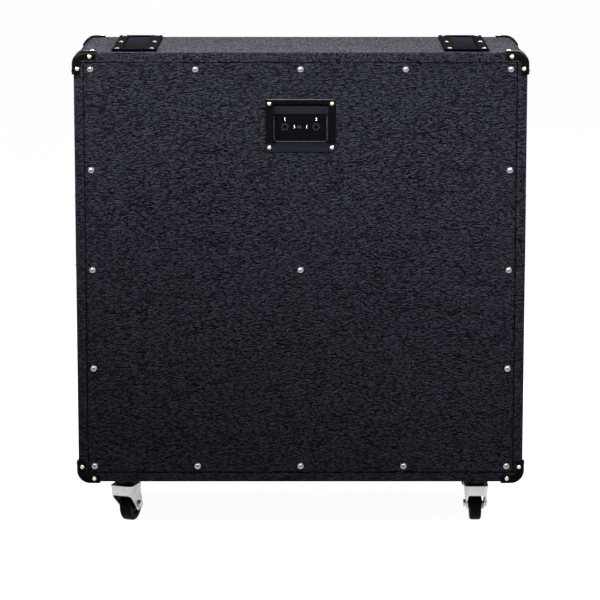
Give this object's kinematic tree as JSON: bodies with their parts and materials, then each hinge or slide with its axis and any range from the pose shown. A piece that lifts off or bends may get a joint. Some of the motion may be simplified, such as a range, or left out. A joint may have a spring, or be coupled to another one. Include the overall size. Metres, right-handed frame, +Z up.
{
  "type": "guitar speaker cabinet",
  "caption": "Closed-back guitar speaker cabinet on swivel castors, with an angled grille front, recessed side handles, corner protectors and a recessed jack plate at the rear.",
  "frame": {"origin": "on the floor under the middle of the cabinet", "axes": "+Z up, +Y from the rear panel to the grille, +X to the right as seen from the rear"},
  "size_m": [0.7712, 0.3692, 0.8341],
  "materials": {
    "covered_board": "plywood covered with grained black vinyl",
    "stained_wood": "black stain on plywood",
    "bare_wood": "plain plywood",
    "grille_cloth": "woven black cloth",
    "nickel_screw": "bright nickel plate",
    "brass_screw": "pale brass plate",
    "zinc_screw": "zinc plate",
    "black_moulding": "glossy black moulding",
    "basket": "black paint on pressed steel",
    "magnet": "dark ferrite and zinc-plated steel",
    "cone_paper": "pressed paper",
    "lead": "rubber-insulated wire",
    "jack": "black plastic",
    "switch": "matt black plastic",
    "castor_socket": "black paint",
    "castor_fork": "bright zinc plate",
    "castor_wheel": "hard black rubber"
  },
  "bodies": {
    "cabinet": {"top_board": "covered_board", "bottom_board": "covered_board", "left_side_board": "covered_board", "right_side_board": "covered_board", "rear_panel": "covered_board", "rear_battens": "stained_wood", "lower_baffle": "bare_wood", "upper_baffle": "bare_wood", "baffle_battens": "bare_wood", "centre_post": "bare_wood", "lower_grille_cloth": "grille_cloth", "upper_grille_cloth": "grille_cloth", "panel_cup_washers": "nickel_screw", "panel_screws": "nickel_screw", "tray_screws": "nickel_screw", "corner_screws": "brass_screw", "jack_plate_screws": "brass_screw", "handle_screws": "brass_screw", "speaker_bolts": "zinc_screw", "castor_socket_screws": "zinc_screw", "rear_top_left_corner": "black_moulding", "rear_top_right_corner": "black_moulding", "rear_bottom_left_corner": "black_moulding", "rear_bottom_right_corner": "black_moulding", "front_top_left_corner": "black_moulding", "front_top_right_corner": "black_moulding", "front_bottom_left_corner": "black_moulding", "front_bottom_right_corner": "black_moulding", "jack_plate": "black_moulding", "left_foot_tray": "black_moulding", "right_foot_tray": "black_moulding", "left_handle": "black_moulding", "right_handle": "black_moulding", "lower_left_speaker_basket": "basket", "lower_right_speaker_basket": "basket", "upper_left_speaker_basket": "basket", "upper_right_speaker_basket": "basket", "lower_left_speaker_magnet": "magnet", "lower_right_speaker_magnet": "magnet", "upper_left_speaker_magnet": "magnet", "upper_right_speaker_magnet": "magnet", "speaker_leads": "lead", "left_jack": "jack", "right_jack": "jack", "mode_switch": "switch", "castor_sockets": "castor_socket"},
    "rear_left_castor": {"rear_left_castor_fork": "castor_fork"},
    "rear_left_wheel": {"rear_left_castor_wheel": "castor_wheel"},
    "rear_right_castor": {"rear_right_castor_fork": "castor_fork"},
    "rear_right_wheel": {"rear_right_castor_wheel": "castor_wheel"},
    "front_left_castor": {"front_left_castor_fork": "castor_fork"},
    "front_left_wheel": {"front_left_castor_wheel": "castor_wheel"},
    "front_right_castor": {"front_right_castor_fork": "castor_fork"},
    "front_right_wheel": {"front_right_castor_wheel": "castor_wheel"},
    "lower_left_cone": {"lower_left_speaker_cone": "cone_paper"},
    "lower_right_cone": {"lower_right_speaker_cone": "cone_paper"},
    "upper_left_cone": {"upper_left_speaker_cone": "cone_paper"},
    "upper_right_cone": {"upper_right_speaker_cone": "cone_paper"},
    "slider": {"switch_slider": "switch"}
  },
  "joints": [
    {"name": "rear_left_swivel", "type": "hinge", "parent": "cabinet", "child": "rear_left_castor", "pos_m": [-0.305, -0.12, 0], "axis": [0, 0, 1], "continuous": true},
    {"name": "rear_left_wheel_spin", "type": "hinge", "parent": "rear_left_castor", "child": "rear_left_wheel", "pos_m": [-0.29679, -0.09745, 0.029], "axis": [0.9397, -0.342, 0], "continuous": true},
    {"name": "rear_right_swivel", "type": "hinge", "parent": "cabinet", "child": "rear_right_castor", "pos_m": [0.305, -0.12, 0], "axis": [0, 0, 1], "continuous": true},
    {"name": "rear_right_wheel_spin", "type": "hinge", "parent": "rear_right_castor", "child": "rear_right_wheel", "pos_m": [0.305, -0.096, 0.029], "axis": [1, 0, 0], "continuous": true},
    {"name": "front_left_swivel", "type": "hinge", "parent": "cabinet", "child": "front_left_castor", "pos_m": [-0.305, 0.12, 0], "axis": [0, 0, 1], "continuous": true},
    {"name": "front_left_wheel_spin", "type": "hinge", "parent": "front_left_castor", "child": "front_left_wheel", "pos_m": [-0.305, 0.144, 0.029], "axis": [1, 0, 0], "continuous": true},
    {"name": "front_right_swivel", "type": "hinge", "parent": "cabinet", "child": "front_right_castor", "pos_m": [0.305, 0.12, 0], "axis": [0, 0, 1], "continuous": true},
    {"name": "front_right_wheel_spin", "type": "hinge", "parent": "front_right_castor", "child": "front_right_wheel", "pos_m": [0.305, 0.144, 0.029], "axis": [1, 0, 0], "continuous": true},
    {"name": "lower_left_cone_travel", "type": "slide", "parent": "cabinet", "child": "lower_left_cone", "axis": [0, 1, 0], "range_m": [-0.003, 0.003], "stiffness_N_per_m": 6000},
    {"name": "lower_right_cone_travel", "type": "slide", "parent": "cabinet", "child": "lower_right_cone", "axis": [0, 1, 0], "range_m": [-0.003, 0.003], "stiffness_N_per_m": 6000},
    {"name": "upper_left_cone_travel", "type": "slide", "parent": "cabinet", "child": "upper_left_cone", "axis": [0, 0.9705, 0.2413], "range_m": [-0.003, 0.003], "stiffness_N_per_m": 6000},
    {"name": "upper_right_cone_travel", "type": "slide", "parent": "cabinet", "child": "upper_right_cone", "axis": [0, 0.9705, 0.2413], "range_m": [-0.003, 0.003], "stiffness_N_per_m": 6000},
    {"name": "slider_travel", "type": "slide", "parent": "cabinet", "child": "slider", "axis": [1, 0, 0], "range_m": [0, 0.005]}
  ]
}
